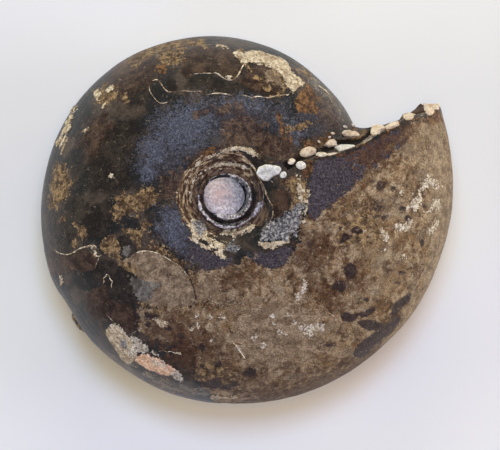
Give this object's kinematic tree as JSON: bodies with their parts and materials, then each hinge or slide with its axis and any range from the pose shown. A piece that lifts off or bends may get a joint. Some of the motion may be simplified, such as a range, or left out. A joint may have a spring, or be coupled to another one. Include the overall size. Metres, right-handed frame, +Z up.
{
  "type": "ammonite fossil",
  "caption": "Closely coiled, inflated ammonite fossil with a small plugged umbilicus and a broken last whorl, lying on its flank.",
  "frame": {"origin": "under the middle of the shell's outline, on the flat spot that it rests on", "axes": "+X along the longest extent, towards the broken end of the last whorl; +Z up along the coil's axis, away from the resting flank"},
  "size_m": [0.075, 0.067, 0.0406],
  "materials": {
    "fossil_stone": "dark brown, semi-glossy replaced shell worn through to a matt tan internal mould, with pale calcite in the umbilicus and along the break"
  },
  "bodies": {
    "root": {"ammonite": "fossil_stone"}
  },
  "joints": []
}
